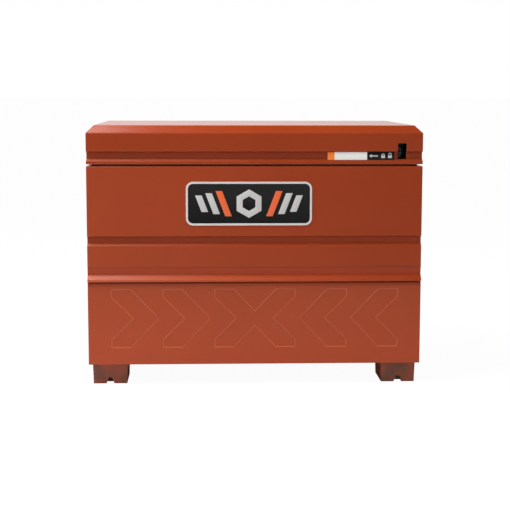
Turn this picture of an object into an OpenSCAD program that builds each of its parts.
// Steel jobsite tool chest: a hinged lid over a deep chest and a full-width drawer under it.
// Millimetres, +Z up, front towards -Y, origin on the floor under the middle of the chest.

/* [Overall] */
// Width over the lid and the body
box_w = 1219; // [1000:1:1500]
// Depth from the front panel to the back panel
box_d = 762; // [680:1:900]
// Height from the floor to the top of the lid
box_h = 949; // [880:1:1100]
// Height of the feet
foot_h = 76; // [60:1:100]
// Thickness of the sheet steel
sheet = 2; // [1.5:0.1:2.5]

/* [Lid] */
// Height of the lid from its lower edge to its top
lid_h = 139.5; // [130:0.5:170]
// Open gap between the lid's lower edge and the body's shoulder
lid_gap = 7.3; // [6:0.1:9]
// Chamfer along the lid's front and side top edges
lid_chamfer = 27.5; // [20:0.5:36]
// Lid's lower edge to the lower edge of its groove
lid_groove_up = 11; // [9:0.5:14]
// Depth of the lid's groove on the two sides
side_groove_depth = 1; // [0.5:0.5:3]
// Width of the lid's folded-in lower edge
lid_return = 12; // [8:1:14]
// Width of the stiffening frame inside the lid
frame_w = 30; // [27:1:32]

/* [Grooves and ledge of the front] */
// Depth of the pressed grooves
groove_depth = 12; // [4:0.5:14]
// Height of the groove's steep upper side
groove_step = 6; // [4:0.5:8]
// Height of the groove's flat floor
groove_floor = 21.5; // [18:0.5:26]
// Height of the groove's sloping lower side
groove_slope = 9; // [6:0.5:12]
// Body's top to the top of its groove
groove_drop = 253; // [150:1:280]
// How far the ledge's lip stands out from the front panel
lip_out = 13; // [8:0.5:16]
// Height of the lip's upright face
lip_h = 8; // [5:0.5:12]
// Height of the ledge's slope over the lip
ledge_rise = 16; // [14:0.5:24]
// How far the panel leans in above the ledge
ledge_dip = 5; // [3:0.5:7]
// Height of the leaning strip
dip_h = 29; // [18:0.5:34]
// Height and depth of the crease at the top of the leaning strip
crease = 1.5; // [1:0.1:2.5]

/* [Rim] */
// Width of the body's folded-in shoulder
shoulder_w = 20; // [18:0.5:22]
// Height of the seal's crown over the rim
seal_crown = 5; // [3:0.5:6]
// Wall of the seal on each side of the rim
seal_wall = 2; // [1:0.25:2.5]
// Length of rim that the seal grips
seal_grip = 8; // [5:0.5:9]
// Free gap over the seal when the lid is shut
seal_gap = 0.3; // [0.2:0.1:0.6]

/* [Hinge] */
// Radius of the hinge knuckles
knuckle_r = 4.5; // [4.2:0.1:5]
// Radius of the hinge pin
pin_r = 2.25; // [1.5:0.05:2.5]
// Height of one hinge leaf
leaf_h = 42; // [30:1:60]
// Thickness of the hinge leaves
leaf_t = 2; // [1.5:0.1:2.5]
// Number of knuckles
knuckles = 25; // [9:2:41]
// Distance from each end of the hinge to the chest's side
hinge_inset = 30; // [20:1:80]

/* [Drawer] */
// Height of the drawer opening
drawer_h = 306; // [240:1:320]
// How far the drawer front stands out from the front panel
drawer_proud = 6; // [2:0.5:7]
// Depth of the drawer front's folded edges
pan_depth = 20; // [16:0.5:26]
// Drawer front short of the chest's sides
drawer_gap = 0.25; // [0:0.25:3]
// Length of the drawer tray
tray_d = 650; // [500:1:660]
// Height of the drawer tray's walls
tray_h = 225; // [150:1:230]
// Height of the upturned sill in front of the base
sill_h = 16; // [10:1:20]
// Depth of the pressed chevrons
chevron_depth = 2; // [1.5:0.25:4]
// Height of a chevron
chevron_h = 218; // [160:1:220]
// Slanting reach of a chevron's arm
chevron_reach = 103; // [80:1:110]
// Length of a chevron's level edges
chevron_edge = 73; // [50:1:80]
// Straight end of a chevron's arm
chevron_end = 30; // [15:1:40]
// Distance from one chevron to the next
chevron_pitch = 188.5; // [184:0.5:200]
// Chevrons on each half of the drawer front
chevrons = 3; // [1:1:3]
// How far the middle chevrons' tips pass the centre line
chevron_cross = 27; // [10:1:40]

/* [Drawer runners] */
// Height of a runner's outer channel
rail_h = 76; // [50:1:90]
// Length of the runners
rail_d = 630; // [500:1:640]
// Width of a runner channel's flange
rail_flange = 14; // [12:0.5:15]
// Running clearance between the channels
rail_clear = 0.3; // [0.2:0.05:0.5]
// Room at each side of the tray for its runner
rail_room = 24.5; // [24:0.5:30]
// Base to the middle of the runner
rail_up = 112; // [80:1:140]

/* [Feet] */
// Width of a foot at its top
foot_w = 128; // [110:1:160]
// Depth of a foot
foot_d = 155; // [135:1:200]
// Thickness of the feet's plate
foot_t = 4; // [3:0.5:6]
// How far each side of a foot draws in at the floor
foot_taper = 2.5; // [0:0.5:4]
// Foot from the chest's side
foot_inset = 13; // [12:0.5:40]
// Foot behind the front panel, and in front of the back
foot_back = 20; // [12:0.5:40]
// Caster bolt spacing across the foot
caster_x = 66.7; // [60:0.1:80]
// Caster bolt spacing along the foot
caster_y = 92.1; // [76:0.1:100]
// Diameter of the caster bolt holes
caster_d = 10.5; // [8:0.1:12]
// Width of the notch at the foot's lower edge
notch_w = 30; // [20:1:40]
// Height of the notch
notch_h = 23; // [20:1:30]
// How far the notch runs in under the foot
notch_d = 34; // [15:1:40]

/* [Side handles] */
// Width of the handle recess
recess_w = 170; // [150:1:200]
// Height of the handle recess
recess_h = 104; // [100:1:130]
// Depth of the handle recess
recess_d = 42; // [38:1:46]
// Flange round the handle recess
recess_flange = 12; // [8:1:20]
// Body's top to the middle of the recess
recess_drop = 165; // [130:1:220]
// Radius of the handle's bar
bail_r = 5; // [4:0.25:6]
// Width of the handle between the middles of its arms
bail_w = 130; // [110:1:136]
// Length of the handle's arms
bail_l = 58; // [50:1:64]
// Running clearance of the handle's ends
bail_clear = 0.05; // [0.03:0.01:0.1]

/* [Latch] */
// Width of the lock window
window_w = 31; // [28:0.5:40]
// Height of the lock window
window_h = 57; // [50:0.5:64]
// Lid's lower edge to the lock window
window_up = 18.5; // [18:0.5:22]
// Middle of the lock window from the chest's right side
window_in = 75; // [60:0.5:110]
// Depth of the lock housing
housing_d = 85; // [75:1:100]
// Wall of the lock housing
housing_t = 2.5; // [2:0.5:3]
// Height of the latch bar
bar_h = 20; // [16:0.5:22]
// Thickness of the latch bar and of its hooks
bar_t = 5; // [4:0.5:6]
// Travel of the latch bar
latch_travel = 14; // [10:0.5:14]
// Width of a hook's shank
shank_w = 14; // [10:0.5:16]
// Length of a hook's toe
toe_l = 12; // [11:0.5:13]
// Height of a hook's toe
toe_h = 12; // [8:0.5:14]
// Free space over the toe when it is latched
toe_gap = 2; // [1:0.25:3]
// Outer hooks from the chest's sides
hook_in = 200; // [150:1:260]
// Thickness of the strike plates
strike_t = 3; // [2.5:0.25:4]
// Running clearance of the latch bar in its guides
guide_clear = 0.3; // [0.2:0.05:0.5]

/* [Gas springs] */
// Distance of both pivots from the hinge pin
spring_reach = 320; // [300:1:340]
// Angle between the two pivots, seen from the hinge pin, when the lid is shut
spring_span = 70; // [66:0.5:74]
// Lid pivot over the hinge pin
spring_rise = 66; // [62:0.5:75]
// Opening angle of the lid
lid_open = 90; // [80:1:95]
// Gas springs from the chest's sides
spring_in = 45; // [43:0.5:55]
// Outer radius of the gas spring's tube
tube_r = 11; // [10:0.25:12]
// Wall of the gas spring's tube
tube_t = 2; // [1.5:0.25:2.5]
// Radius of the gas spring's rod
rod_r = 5; // [4:0.25:5.5]
// Radius of the pivot studs
stud_r = 5; // [4:0.25:6]
// Running clearance at the pivots
stud_clear = 0.05; // [0.03:0.01:0.1]
// Running clearance of the rod and of its piston
rod_clear = 0.3; // [0.2:0.05:0.4]

/* [Stiffeners and lid storage] */
// Width of the top-hat stiffeners
hat_w = 76; // [60:1:90]
// Width of each stiffener's brim
hat_brim = 16; // [12:1:20]
// Height of the lid's stiffeners
lid_hat_h = 22; // [16:1:28]
// Height of the stiffeners under the chest floor
floor_hat_h = 25; // [16:1:30]
// Width of the storage panel in the lid
storage_w = 1020; // [700:1:1020]
// Depth of the storage panel
storage_d = 500; // [380:1:520]
// Depth of the storage pocket
pocket_h = 58; // [40:1:60]
// Reach of the storage pocket's front
pocket_reach = 120; // [60:1:160]
// Columns of slots in the storage panel
slot_columns = 12; // [4:1:16]
// Rows of slots in the storage panel
slot_rows = 3; // [1:1:4]

/* [Hidden] */
$fn = 48;
knuckle_sink = 0.5;
hinge_off = knuckle_r - knuckle_sink;
hinge_out = hinge_off + knuckle_r;
half_w = box_w / 2;
front = -(box_d + hinge_out - lip_out) / 2;
back = front + box_d;
mid_y = (front + back) / 2;

lid_low = box_h - lid_h;
body_top = lid_low - lid_gap;
hinge_y = back + hinge_off;
hinge_z = body_top + lid_gap / 2;

groove_h = groove_step + groove_floor + groove_slope;
lid_groove_z = lid_low + lid_groove_up;
lid_groove_top = lid_groove_z + groove_h;
body_groove_z = body_top - groove_drop - groove_h;
lip_low = foot_h + drawer_h;
lip_top = lip_low + lip_h;
trough_z = lip_top + ledge_rise;
crease_z = trough_z + dip_h;

frame_lift = 3;
frame_z = lid_groove_z + frame_lift;
frame_top = lid_groove_top - groove_step;
seal_top = frame_z - seal_gap;
rim_top = seal_top - seal_crown;
rim_out = shoulder_w - sheet;

jamb_gap = 2;
jamb = pan_depth + jamb_gap - drawer_proud;
ledge_flange = 14;
flange_in = jamb + ledge_flange;
floor_z = lip_low + sheet;
floor_front = 10;

panel_half = half_w - drawer_gap;
panel_over = 3;
panel_low = foot_h;
panel_top = lip_low - panel_over;
tray_half = half_w - sheet - rail_room;
tray_y = front + pan_depth - drawer_proud;
tray_clear = 4;
tray_low = foot_h + sheet + sill_h + tray_clear;
rail_z = foot_h + rail_up;
rail_y = front + jamb + tray_clear;
chevron_lift = 19;
chevron_z = (panel_low + panel_top) / 2 + chevron_lift;

window_x = half_w - window_in;
window_z = lid_low + window_up;
plate_corner = 20;
plate_half = window_in - plate_corner;
bar_off = 4;
bar_lift = 7;
bar_y = front + frame_w + bar_off;
bar_z = frame_z + sheet + bar_lift;
hook_y = bar_y + bar_t;
strike_drop = 8;
strike_z = body_top - strike_drop;
hook_low = strike_z - toe_gap - toe_h;
slot_clear = 3;
strike_slot = shank_w + max(toe_l, latch_travel) + 2 * slot_clear;
hook_x = [-(half_w - hook_in), 0, half_w - hook_in];
guide_x = [for (k = [-0.75, -0.25, 0.25, 0.75]) k * (half_w - hook_in)];
tab_gap = 2.5;
tab_w = window_w - latch_travel - 2 * tab_gap;
bar_end = window_x - window_w / 2 + tab_gap + tab_w;

spring_x = half_w - spring_in;
lid_pivot_a = asin(spring_rise / spring_reach);
body_pivot_a = spring_span - lid_pivot_a;
lid_pivot = [hinge_y, hinge_z] + spring_reach * [-cos(lid_pivot_a), sin(lid_pivot_a)];
body_pivot = [hinge_y, hinge_z] - spring_reach * [cos(body_pivot_a), sin(body_pivot_a)];
spring_len = 2 * spring_reach * sin(spring_span / 2);
spring_lean = atan2(body_pivot.x - lid_pivot.x, lid_pivot.y - body_pivot.y);
spring_stroke = 2 * spring_reach * sin((spring_span + lid_open) / 2) - spring_len;
eye_wall = 6;
eye_r = stud_r + eye_wall;
eye_w = 14;
eye_gap = 0.5;
stud_head = 3;
bracket_h = 40;
eye_neck = 4;
gland = 6;
tube_low = eye_r + eye_neck;
tube_top = spring_len - eye_r - eye_neck - gland;
tube_end = 8;
piston_h = 10;
piston_low = tube_top - tube_end - piston_h - rod_clear - spring_stroke;

recess_z = body_top - recess_drop;
bail_x = half_w - sheet - recess_d / 2;
bail_drop = 18;
bail_z = recess_z + recess_h / 2 - bail_drop;
bail_bend = 12;

storage_z = box_h - 2 * sheet - lid_hat_h;
storage_in = 110;
storage_back = back - storage_in;

paint = [0.60, 0.24, 0.14];
dark_paint = [0.44, 0.25, 0.19];
black = [0.10, 0.10, 0.11];
zinc = [0.70, 0.71, 0.72];
rubber = [0.16, 0.16, 0.16];

// A block between two opposite corners
module block(low, high) {
    translate(low) cube(high - low);
}

// A profile drawn in Y and Z, run along X about the middle
module along_x(length) {
    rotate([90, 0, 90]) linear_extrude(length, center = true) children();
}

// A profile drawn in X and Z, run along Y from y0 to y1
module along_y(y0, y1) {
    translate([0, y1, 0]) rotate([90, 0, 0]) linear_extrude(y1 - y0) children();
}

// A round bar along X between two places
module bar_x(x0, x1, y, z, r) {
    translate([x0, y, z]) rotate([0, 90, 0]) cylinder(r = r, h = x1 - x0);
}

// A rectangular ring that lies inside the chest's outline by two distances
module ring(outer, inner, z0, z1) {
    difference() {
        block([-half_w + outer, front + outer, z0], [half_w - outer, back - outer, z1]);
        block([-half_w + inner, front + inner, z0 - 1], [half_w - inner, back - inner, z1 + 1]);
    }
}

// The pieces of one side, drawn on the right, and mirrored for the left
module on_left() {
    mirror([1, 0, 0]) children();
}

function reversed(points) = [for (i = [len(points) - 1:-1:0]) points[i]];

function moved_in(points, by) = [for (p = points) [p.x + by, p.y]];

// The pressed groove, from its lower edge up, as depth and height
function groove_path(z, depth) = [
    [0, z],
    [depth, z + groove_slope],
    [depth, z + groove_slope + groove_floor],
    [0, z + groove_h]
];

// The front sheet's outer face below the shoulder, from the top down, as depth and height
front_path = concat(
    reversed(groove_path(body_groove_z, groove_depth)),
    [[0, crease_z], [crease, crease_z - 2 * crease], [ledge_dip, trough_z], [-lip_out, lip_top]]
);

// The same face's inner side, with the folds at its two ends
front_inner = concat(
    [[sheet, body_top - sheet]],
    moved_in(front_path, sheet),
    [[sheet - lip_out, lip_low + sheet], [flange_in, lip_low + sheet]]
);

module front_panel() {
    lip_half = half_w - rim_out;
    color(paint) difference() {
        translate([0, front, 0]) along_x(box_w) polygon(concat(
            [[rim_out, rim_top], [rim_out, body_top], [0, body_top]],
            front_path,
            [[-lip_out, lip_low], [flange_in, lip_low]],
            reversed(front_inner),
            [[shoulder_w, body_top - sheet], [shoulder_w, rim_top]]
        ));
        for (s = [-1, 1])
            translate([s * (lip_half + shoulder_w), front + shoulder_w, rim_top])
                cube([2 * shoulder_w, 4 * sheet, 2 * (rim_top - body_top)], center = true);
    }
}

module side_panel() {
    color(paint) difference() {
        union() {
            translate([half_w - sheet / 2, front, 0]) along_x(sheet) polygon(concat(
                front_inner,
                [[flange_in, lip_low], [jamb, lip_low], [jamb, foot_h],
                 [box_d - sheet, foot_h], [box_d - sheet, body_top - sheet]]
            ));
            block([half_w - sheet, front + shoulder_w, body_top - 2 * sheet],
                [half_w, back - shoulder_w, body_top]);
            block([half_w - shoulder_w, front + shoulder_w, body_top - sheet],
                [half_w, back - shoulder_w, body_top]);
            block([half_w - shoulder_w, front + shoulder_w, body_top - sheet],
                [half_w - rim_out, back - shoulder_w, rim_top]);
        }
        translate([half_w, mid_y, recess_z]) cube([4 * sheet, recess_w, recess_h], center = true);
    }
}

module back_panel() {
    lip_half = half_w - rim_out;
    color(paint) {
        block([-half_w, back - sheet, foot_h], [half_w, back, body_top]);
        block([-half_w, back - shoulder_w, body_top - sheet], [half_w, back, body_top]);
        block([-lip_half, back - shoulder_w, body_top - sheet], [lip_half, back - rim_out, rim_top]);
    }
}

// The floor of the chest, which is also the roof of the drawer bay, with upturned edges
module chest_floor() {
    edge = half_w - sheet;
    upturn_h = 20;
    upturn = floor_z + upturn_h;
    color(paint) {
        block([-edge, front + floor_front, floor_z], [edge, back - sheet, floor_z + sheet]);
        block([-edge, back - 2 * sheet, floor_z], [edge, back - sheet, upturn]);
        for (s = [-1, 1])
            translate([s * (edge - sheet / 2), 0, 0])
                block([-sheet / 2, front + flange_in, floor_z], [sheet / 2, back - sheet, upturn]);
    }
}

// A top-hat section with its brims up at zero and its crown below
module hat_section(height) {
    brim_edge = hat_w / 2;
    crown_edge = brim_edge - hat_brim;
    polygon([
        [-brim_edge, 0], [-crown_edge + sheet, 0], [-crown_edge + sheet, sheet - height],
        [crown_edge - sheet, sheet - height], [crown_edge - sheet, 0], [brim_edge, 0],
        [brim_edge, -sheet], [crown_edge, -sheet], [crown_edge, -height],
        [-crown_edge, -height], [-crown_edge, -sheet], [-brim_edge, -sheet]
    ]);
}

module floor_stiffeners() {
    color(paint) for (k = [1, 2])
        translate([0, front + jamb + k * (box_d - jamb) / 3, floor_z])
            along_x(box_w - 2 * sheet) hat_section(floor_hat_h);
}

module base_pan() {
    edge = half_w - sheet;
    color(paint) {
        block([-edge, front + jamb, foot_h], [edge, back - sheet, foot_h + sheet]);
        block([-edge, front + jamb, foot_h], [edge, front + jamb + sheet, foot_h + sheet + sill_h]);
    }
}

// The outline of a foot in X and Z, drawn in from its outer walls by some distance
module foot_outline(inset) {
    top = foot_w / 2 - inset;
    low = top - foot_taper;
    polygon([[-low, 0], [low, 0], [top, foot_h], [-top, foot_h]]);
}

// The notch: a round crown over flaring sides
module notch_outline() {
    crown_share = 0.3;
    crown = notch_w * crown_share;
    translate([0, notch_h - crown]) circle(crown);
    polygon([
        [-notch_w / 2, -1], [notch_w / 2, -1], [crown, notch_h - crown], [-crown, notch_h - crown]
    ]);
}

// A folded foot, open behind and on top, with the notch in its front
module foot() {
    caster_back = 10;
    caster_mid = foot_d / 2 + caster_back;
    color(dark_paint) difference() {
        along_y(0, foot_d) foot_outline(0);
        intersection() {
            along_y(foot_t, foot_d + 1) foot_outline(foot_t);
            block([-foot_w, 0, foot_t], [foot_w, foot_d + 2, foot_h + 1]);
        }
        translate([0, 0, foot_h]) cube([foot_w - 2 * foot_t, 2 * (foot_d - foot_t), 1], center = true);
        along_y(-1, notch_d) notch_outline();
        for (sx = [-1, 1], sy = [-1, 1])
            translate([sx * caster_x / 2, caster_mid + sy * caster_y / 2, -1])
                cylinder(d = caster_d, h = foot_t + 2);
    }
}

module placed_foot(side, rear) {
    foot_x = half_w - foot_inset - foot_w / 2;
    translate([side * foot_x, rear ? back - foot_back : front + foot_back, 0])
        mirror([0, rear ? 1 : 0, 0]) foot();
}

// The rubber edge strip that sits over the rim
module rim_seal() {
    color(rubber) difference() {
        ring(rim_out - seal_wall, shoulder_w + seal_wall, rim_top - seal_grip, seal_top);
        ring(rim_out, shoulder_w, rim_top - seal_grip - 1, rim_top);
    }
}

// One leaf of the long hinge: up is 1 for the lid's leaf and -1 for the body's
module hinge_leaf(up, first) {
    length = box_w - 2 * hinge_inset;
    pitch = length / knuckles;
    gap = 0.6;
    plate_from = knuckle_r + gap / 2;
    translate([0, hinge_y, hinge_z]) difference() {
        union() {
            translate([-length / 2, -hinge_off, up > 0 ? plate_from : -leaf_h])
                cube([length, leaf_t, leaf_h - plate_from]);
            for (i = [first:2:knuckles - 1]) translate([i * pitch + gap / 2 - length / 2, 0, 0]) {
                rotate([0, 90, 0]) cylinder(r = knuckle_r, h = pitch - gap);
                translate([0, -hinge_off, up > 0 ? 0 : -plate_from - 1])
                    cube([pitch - gap, leaf_t, plate_from + 1]);
            }
        }
        rotate([0, 90, 0]) cylinder(r = pin_r + stud_clear, h = box_w, center = true);
    }
}

module hinge_body_leaf() {
    color(paint) hinge_leaf(-1, 0);
}

module hinge_lid_leaf() {
    color(paint) hinge_leaf(1, 1);
}

module hinge_pin() {
    color(zinc) bar_x(hinge_inset - half_w, half_w - hinge_inset, hinge_y, hinge_z, pin_r);
}

// Angle plates behind the front rim, with a slot for each hook
module latch_strikes() {
    end_w = 15;
    rear_w = 7;
    seal_clear = 0.5;
    length = strike_slot + 2 * end_w;
    reach = hook_y + bar_t + slot_clear + rear_w;
    color(zinc) for (x = hook_x) translate([x + strike_slot / 2 - slot_clear, 0, 0]) difference() {
        union() {
            block([-length / 2, front + shoulder_w, strike_z],
                [length / 2, front + shoulder_w + strike_t, rim_top - seal_grip - seal_clear]);
            block([-length / 2, front + shoulder_w, strike_z],
                [length / 2, reach, strike_z + strike_t]);
        }
        block([-strike_slot / 2, hook_y - slot_clear, strike_z - 1],
            [strike_slot / 2, hook_y + bar_t + slot_clear, strike_z + strike_t + 1]);
    }
}

// The recess for a side handle: a pan with a flange behind the side panel
module handle_recess() {
    outer_x = half_w - sheet;
    color(black) translate([0, mid_y, recess_z]) difference() {
        union() {
            block([outer_x - recess_d, -recess_w / 2 - sheet, -recess_h / 2 - sheet],
                [outer_x, recess_w / 2 + sheet, recess_h / 2 + sheet]);
            block([outer_x - sheet, -recess_w / 2 - recess_flange, -recess_h / 2 - recess_flange],
                [outer_x, recess_w / 2 + recess_flange, recess_h / 2 + recess_flange]);
        }
        block([outer_x - recess_d + sheet, -recess_w / 2, -recess_h / 2],
            [outer_x + 1, recess_w / 2, recess_h / 2]);
        translate([bail_x, 0, bail_z - recess_z]) rotate([90, 0, 0])
            cylinder(r = bail_r + bail_clear, h = recess_w + 4 * sheet, center = true);
    }
}

// A quarter bend of round bar, from +X to +Y in its own plane
module bend(radius, r) {
    rotate_extrude(angle = 90) translate([radius, 0]) circle(r);
}

// The swinging handle: a bar bent to a stirrup, with its ends turned out into the recess walls
module handle() {
    arm = bail_w / 2;
    end = recess_w / 2 + sheet;
    color(zinc) translate([bail_x, mid_y, bail_z]) for (s = [0, 1]) mirror([0, s, 0]) {
        translate([0, 0, -bail_l]) rotate([-90, 0, 0]) cylinder(r = bail_r, h = arm - bail_bend);
        translate([0, arm - bail_bend, bail_bend - bail_l]) rotate([0, 90, 0]) bend(bail_bend, bail_r);
        translate([0, arm, bail_bend - bail_l]) cylinder(r = bail_r, h = bail_l - 2 * bail_bend);
        translate([0, arm + bail_bend, -bail_bend]) rotate([0, -90, 0]) rotate([0, 0, -90])
            bend(bail_bend, bail_r);
        translate([0, arm + bail_bend, 0]) rotate([-90, 0, 0])
            cylinder(r = bail_r, h = end - arm - bail_bend);
    }
}

// A wall plate with a stud that carries a gas spring's eye
module spring_bracket(pivot, plate_low) {
    plate_x = half_w - sheet;
    plate_t = 3;
    plate_w = 56;
    eye_edge = eye_w / 2 + eye_gap;
    color(zinc) {
        block([plate_x - plate_t, pivot.x - plate_w / 2, plate_low],
            [plate_x, pivot.x + plate_w / 2, plate_low + bracket_h]);
        bar_x(spring_x - eye_edge - stud_head, plate_x - 1, pivot.x, pivot.y, stud_r);
        bar_x(spring_x - eye_edge - stud_head, spring_x - eye_edge, pivot.x, pivot.y, stud_r + stud_head);
        bar_x(spring_x + eye_edge, plate_x - 1, pivot.x, pivot.y, stud_r + stud_head);
    }
}

module spring_body_bracket() {
    spring_bracket(body_pivot, body_pivot.y - bracket_h / 2);
}

module spring_lid_bracket() {
    spring_bracket(lid_pivot, max(lid_groove_top + 1, lid_pivot.y - bracket_h / 2));
}

// Local frame of a gas spring: its lower pivot at the origin and its rod up along Z
module at_spring() {
    translate([spring_x, body_pivot.x, body_pivot.y]) rotate([spring_lean, 0, 0]) children();
}

module spring_eye(z, stem_to) {
    difference() {
        union() {
            bar_x(-eye_w / 2, eye_w / 2, 0, z, eye_r);
            translate([0, 0, min(z, stem_to)]) cylinder(r = rod_r + 1, h = abs(stem_to - z));
        }
        bar_x(-eye_w, eye_w, 0, z, stud_r + stud_clear);
    }
}

module spring_tube() {
    bore_low = tube_low + tube_end / 2;
    color(black) at_spring() {
        difference() {
            translate([0, 0, tube_low]) cylinder(r = tube_r, h = tube_top - tube_low);
            translate([0, 0, bore_low]) cylinder(r = tube_r - tube_t, h = tube_top - tube_end - bore_low);
            translate([0, 0, bore_low + 1]) cylinder(r = rod_r + rod_clear, h = spring_len);
        }
        spring_eye(0, tube_low + 1);
    }
}

module spring_rod() {
    color(zinc) at_spring() {
        translate([0, 0, piston_low]) cylinder(r = rod_r, h = spring_len - eye_r + 1 - piston_low);
        translate([0, 0, piston_low]) cylinder(r = tube_r - tube_t - rod_clear, h = piston_h);
        spring_eye(spring_len, spring_len - eye_r - eye_neck);
    }
}

// A runner channel: half its height, its web, and how far its flanges reach
module channel(half_h, web_x, to_x, length) {
    low_x = min(web_x, to_x);
    high_x = max(web_x, to_x);
    opens_out = to_x > web_x;
    difference() {
        block([low_x, rail_y, rail_z - half_h], [high_x, rail_y + length, rail_z + half_h]);
        block([low_x + (opens_out ? sheet : -1), rail_y - 1, rail_z - half_h + sheet],
            [high_x + (opens_out ? 1 : -sheet), rail_y + length + 1, rail_z + half_h - sheet]);
    }
}

module runner_outer() {
    web = half_w - sheet;
    color(zinc) channel(rail_h / 2, web, web - rail_flange, rail_d);
}

module runner_middle() {
    web = half_w - sheet - rail_flange / 2;
    shorter = 20;
    color(zinc) channel(rail_h / 2 - sheet - rail_clear, web, web - rail_flange, rail_d - shorter);
}

module runner_inner() {
    half_h = rail_h / 2 - 2 * (sheet + rail_clear);
    shorter = 10;
    narrower = 1;
    color(zinc) channel(half_h, tray_half, tray_half + rail_flange - narrower, rail_d - shorter);
}

// A chevron that points to +X with its tip at the origin, counterclockwise
function chevron_points() = [
    [0, 0],
    [-chevron_reach, chevron_h / 2],
    [-chevron_reach - chevron_edge, chevron_h / 2],
    [-chevron_reach - chevron_edge, chevron_h / 2 - chevron_end],
    [-chevron_reach - chevron_edge + chevron_h / 2 - chevron_end, 0],
    [-chevron_reach - chevron_edge, chevron_end - chevron_h / 2],
    [-chevron_reach - chevron_edge, -chevron_h / 2],
    [-chevron_reach, -chevron_h / 2]
];

function left_normal(a, b) = [a.y - b.y, b.x - a.x] / norm(b - a);

// The outline with every edge moved inwards by the same distance
function shrunk(points, by) = [
    for (i = [0:len(points) - 1])
        let (n = len(points), p = points[(i + n - 1) % n], q = points[i], r = points[(i + 1) % n],
            u = left_normal(p, q), v = left_normal(q, r))
        q + by * (u + v) / (1 + u * v)
];

// Both halves' chevrons, seen from the front, with their edges moved inwards by some distance
module chevron_row(inset) {
    for (s = [0, 1], k = [0:chevrons - 1])
        mirror([s, 0]) translate([chevron_cross - k * chevron_pitch, chevron_z])
            polygon(shrunk(chevron_points(), inset));
}

// The drawer front: a pan with folded edges and chevrons pressed into its face
module drawer_front() {
    face = front - drawer_proud;
    color(paint) difference() {
        union() {
            difference() {
                block([-panel_half, face, panel_low], [panel_half, face + pan_depth, panel_top]);
                block([sheet - panel_half, face + sheet, panel_low + sheet],
                    [panel_half - sheet, face + pan_depth + 1, panel_top - sheet]);
            }
            along_y(face + sheet / 2, face + chevron_depth + sheet) chevron_row(-sheet);
        }
        along_y(face - 1, face + chevron_depth) chevron_row(0);
    }
}

// The plate that closes the drawer front behind and carries the tray
module drawer_liner() {
    edge = panel_half - sheet;
    color(paint) block([-edge, tray_y - sheet, panel_low + sheet], [edge, tray_y, panel_top - sheet]);
}

module drawer_tray() {
    color(paint) difference() {
        block([-tray_half, tray_y, tray_low], [tray_half, tray_y + tray_d, tray_low + tray_h]);
        block([sheet - tray_half, tray_y + sheet, tray_low + sheet],
            [tray_half - sheet, tray_y + tray_d - sheet, tray_low + tray_h + 1]);
    }
}

// The lid's outer form, or the hollow inside its sheet when inset by the sheet's thickness
module lid_form(inset) {
    low = lid_low - inset;
    tuck = inset * (sqrt(2) - 1);
    front_side = concat(
        [[inset, low]],
        moved_in(groove_path(lid_groove_z, groove_depth), inset),
        [[inset, box_h - lid_chamfer - tuck], [lid_chamfer + tuck, box_h - inset]]
    );
    end_side = concat(
        [[inset, low]],
        moved_in(groove_path(lid_groove_z, side_groove_depth), inset),
        [[inset, box_h - lid_chamfer - tuck], [lid_chamfer + tuck, box_h - inset]]
    );
    intersection() {
        translate([0, front, 0]) along_x(box_w) polygon(concat(
            front_side, [[box_d - inset, box_h - inset], [box_d - inset, low]]
        ));
        along_y(front, back) polygon(concat(
            moved_in(end_side, -half_w),
            [for (p = reversed(end_side)) [half_w - p.x, p.y]]
        ));
    }
}

// The lid's folded sheet with its turned-in lower edge
module lid_skin() {
    difference() {
        lid_form(0);
        lid_form(sheet);
    }
    ring(sheet / 2, lid_return, lid_low, lid_low + sheet);
}

// The part of the lid's front, up to its fold, that the lock plate takes
module lock_corner() {
    block([window_x - plate_half, front - 1, lid_low - 1],
        [window_x + plate_half, front + max(lid_return, groove_depth + sheet) + 1, box_h - lid_chamfer]);
}

module lid_shell() {
    color(paint) difference() {
        lid_skin();
        lock_corner();
    }
}

// The welded-in plate round the lock window, which carries on the lid's front
module lock_plate() {
    color(paint) difference() {
        intersection() {
            lid_skin();
            lock_corner();
        }
        block([window_x - window_w / 2, front - 1, window_z],
            [window_x + window_w / 2, front + groove_depth + 2 * sheet, window_z + window_h]);
    }
}

// The angles welded inside the lid's skirt and fitted to it, without the room for the lock housing
module frame_angles() {
    front_in = groove_depth + 2 * sheet;
    side_in = side_groove_depth + 2 * sheet;
    difference() {
        intersection() {
            block([-half_w, front, frame_z], [half_w, back, frame_top]);
            lid_form(sheet);
        }
        block([side_in - half_w, front + front_in, frame_z + sheet],
            [half_w - side_in, back - 2 * sheet, frame_top + 1]);
        block([frame_w - half_w, front + frame_w, frame_z - 1],
            [half_w - frame_w, back - frame_w, frame_top + 1]);
        block([window_x - window_w / 2 - housing_t, front, frame_z - 1],
            [window_x + window_w / 2 + housing_t, front + frame_w + 1, frame_top + 1]);
    }
}

// Where the front angle lies, from the lid's left side to the lock housing
module front_angle_room() {
    block([-half_w, front, frame_z - 1], [window_x, front + frame_w, frame_top + 1]);
}

// The frame's lower leg bears on the rim's seal
module lid_frame() {
    color(paint) difference() {
        frame_angles();
        front_angle_room();
    }
}

module lid_front_angle() {
    color(paint) intersection() {
        frame_angles();
        front_angle_room();
    }
}

module lid_stiffeners() {
    end_gap = 20;
    color(paint) for (k = [1, 2])
        translate([0, front + k * box_d / 3, box_h - sheet])
            along_x(box_w - 2 * (lid_chamfer + end_gap)) hat_section(lid_hat_h);
}

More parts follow.
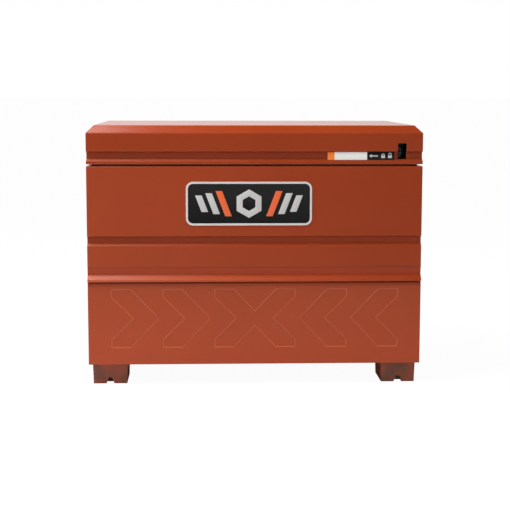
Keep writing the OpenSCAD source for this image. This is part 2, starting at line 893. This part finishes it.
// The storage panel under the lid's stiffeners, folded to a pocket along its hinge side
module lid_storage_panel() {
    top = storage_z + sheet;
    slot_w = 40;
    slot_h = 9;
    side_edge = 30;
    end_edge = 40;
    column = (storage_w - 2 * side_edge) / slot_columns;
    row = (storage_d - pocket_reach - 2 * end_edge) / slot_rows;
    first_x = side_edge - storage_w / 2;
    first_y = storage_back - storage_d + end_edge;
    color(black) difference() {
        along_x(storage_w) polygon([
            [storage_back - storage_d, top], [storage_back, top], [storage_back, top - pocket_h],
            [storage_back - pocket_reach, top - pocket_h],
            [storage_back - pocket_reach, top - pocket_h + sheet],
            [storage_back - sheet, top - pocket_h + sheet], [storage_back - sheet, storage_z],
            [storage_back - storage_d, storage_z]
        ]);
        for (i = [0:slot_columns - 1], j = [0:slot_rows - 1])
            translate([first_x + (i + 0.5) * column, first_y + (j + 0.5) * row, top])
                cube([slot_w, slot_h, 4 * sheet], center = true);
    }
}

// Brackets on the lid's frame that the latch bar slides in
module latch_guides() {
    wall = 3;
    guide_w = 30;
    foot_y = front + groove_depth + 2 * sheet;
    slot_y = bar_y - guide_clear;
    slot_w = bar_t + 2 * guide_clear;
    low = bar_z - guide_clear;
    slot_h = bar_h + 2 * guide_clear;
    color(zinc) for (x = guide_x) translate([x, 0, 0]) along_x(guide_w) difference() {
        translate([foot_y, low - wall]) square([slot_y + slot_w + wall - foot_y, slot_h + 2 * wall]);
        translate([slot_y, low]) square([slot_w, slot_h]);
        translate([foot_y + wall, low]) square([slot_y - foot_y - 2 * wall, slot_h]);
    }
}

// The box behind the lock window, fitted to the inside of the lid's front and down to the seal
module lock_housing() {
    half = window_w / 2;
    slot_gap = 2;
    color(black) difference() {
        intersection() {
            block([window_x - half - housing_t, front, frame_z],
                [window_x + half + housing_t, front + housing_d, window_z + window_h + housing_t]);
            lid_form(sheet);
        }
        block([window_x - half, front - 1, window_z],
            [window_x + half, front + housing_d - housing_t, window_z + window_h]);
        block([window_x - half - 2 * housing_t, bar_y - slot_gap, bar_z - slot_gap],
            [window_x - half + 1, bar_y + bar_t + slot_gap, bar_z + bar_h + slot_gap]);
    }
}

// The padlock eye at the back of the lock housing
module lock_staple() {
    rear = front + housing_d - housing_t;
    eye_z = window_z + window_h / 2;
    eye_out = 18;
    outer_r = 15;
    hole_r = 7;
    plate_t = 6;
    color(zinc) translate([window_x, 0, 0]) difference() {
        along_x(plate_t) union() {
            translate([rear - eye_out, eye_z - outer_r]) square([eye_out, 2 * outer_r]);
            translate([rear - eye_out, eye_z]) circle(outer_r);
        }
        bar_x(-plate_t, plate_t, rear - eye_out - 2, eye_z, hole_r);
    }
}

module latch_bar() {
    bar_tail = 40;
    color(zinc) block([hook_x[0] - bar_tail, bar_y, bar_z], [bar_end, hook_y, bar_z + bar_h]);
}

// Hooks welded behind the latch bar; each toe slides under its strike plate
module latch_hooks() {
    nose = 5;
    toe_x = shank_w + toe_l;
    color(zinc) for (x = hook_x) translate([x, 0, 0]) along_y(hook_y, hook_y + bar_t) polygon([
        [0, bar_z + bar_h], [shank_w, bar_z + bar_h], [shank_w, hook_low + toe_h],
        [toe_x, hook_low + toe_h], [toe_x, hook_low + nose], [toe_x - nose, hook_low], [0, hook_low]
    ]);
}

// The finger tab that shows in the lock window: a plate with a rounded rib
module latch_thumb_tab() {
    tab_x = bar_end - tab_w;
    tab_t = 3;
    tab_rise = 18;
    rib_r = 5;
    rib_out = 9;
    rib_up = 8;
    rib_y = bar_y - rib_out;
    rib_z = bar_z + bar_h / 2 + rib_up;
    color(black) {
        block([tab_x, bar_y - tab_t, bar_z + 1], [bar_end, bar_y, bar_z + bar_h + tab_rise]);
        bar_x(tab_x, bar_end, rib_y, rib_z, rib_r);
        block([tab_x, rib_y, rib_z - rib_r], [bar_end, bar_y - tab_t / 2, rib_z + rib_r]);
    }
}

front_panel();
on_left() side_panel();  // left_side_panel
side_panel();  // right_side_panel
back_panel();
chest_floor();
floor_stiffeners();
base_pan();
placed_foot(-1, false);  // front_left_foot
placed_foot(1, false);  // front_right_foot
placed_foot(-1, true);  // rear_left_foot
placed_foot(1, true);  // rear_right_foot
rim_seal();
hinge_body_leaf();
hinge_pin();
latch_strikes();
on_left() handle_recess();  // left_handle_recess
handle_recess();  // right_handle_recess
on_left() handle();  // left_handle
handle();  // right_handle
on_left() spring_body_bracket();  // left_spring_body_bracket
spring_body_bracket();  // right_spring_body_bracket
on_left() runner_outer();  // left_runner_outer
runner_outer();  // right_runner_outer
on_left() runner_middle();  // left_runner_middle
runner_middle();  // right_runner_middle
on_left() runner_inner();  // left_runner_inner
runner_inner();  // right_runner_inner
drawer_front();
drawer_liner();
drawer_tray();
lid_shell();
lock_plate();
lid_frame();
lid_front_angle();
lid_stiffeners();
lid_storage_panel();
hinge_lid_leaf();
latch_guides();
lock_housing();
lock_staple();
latch_bar();
latch_hooks();
latch_thumb_tab();
on_left() spring_lid_bracket();  // left_spring_lid_bracket
spring_lid_bracket();  // right_spring_lid_bracket
on_left() spring_tube();  // left_spring_tube
spring_tube();  // right_spring_tube
on_left() spring_rod();  // left_spring_rod
spring_rod();  // right_spring_rod
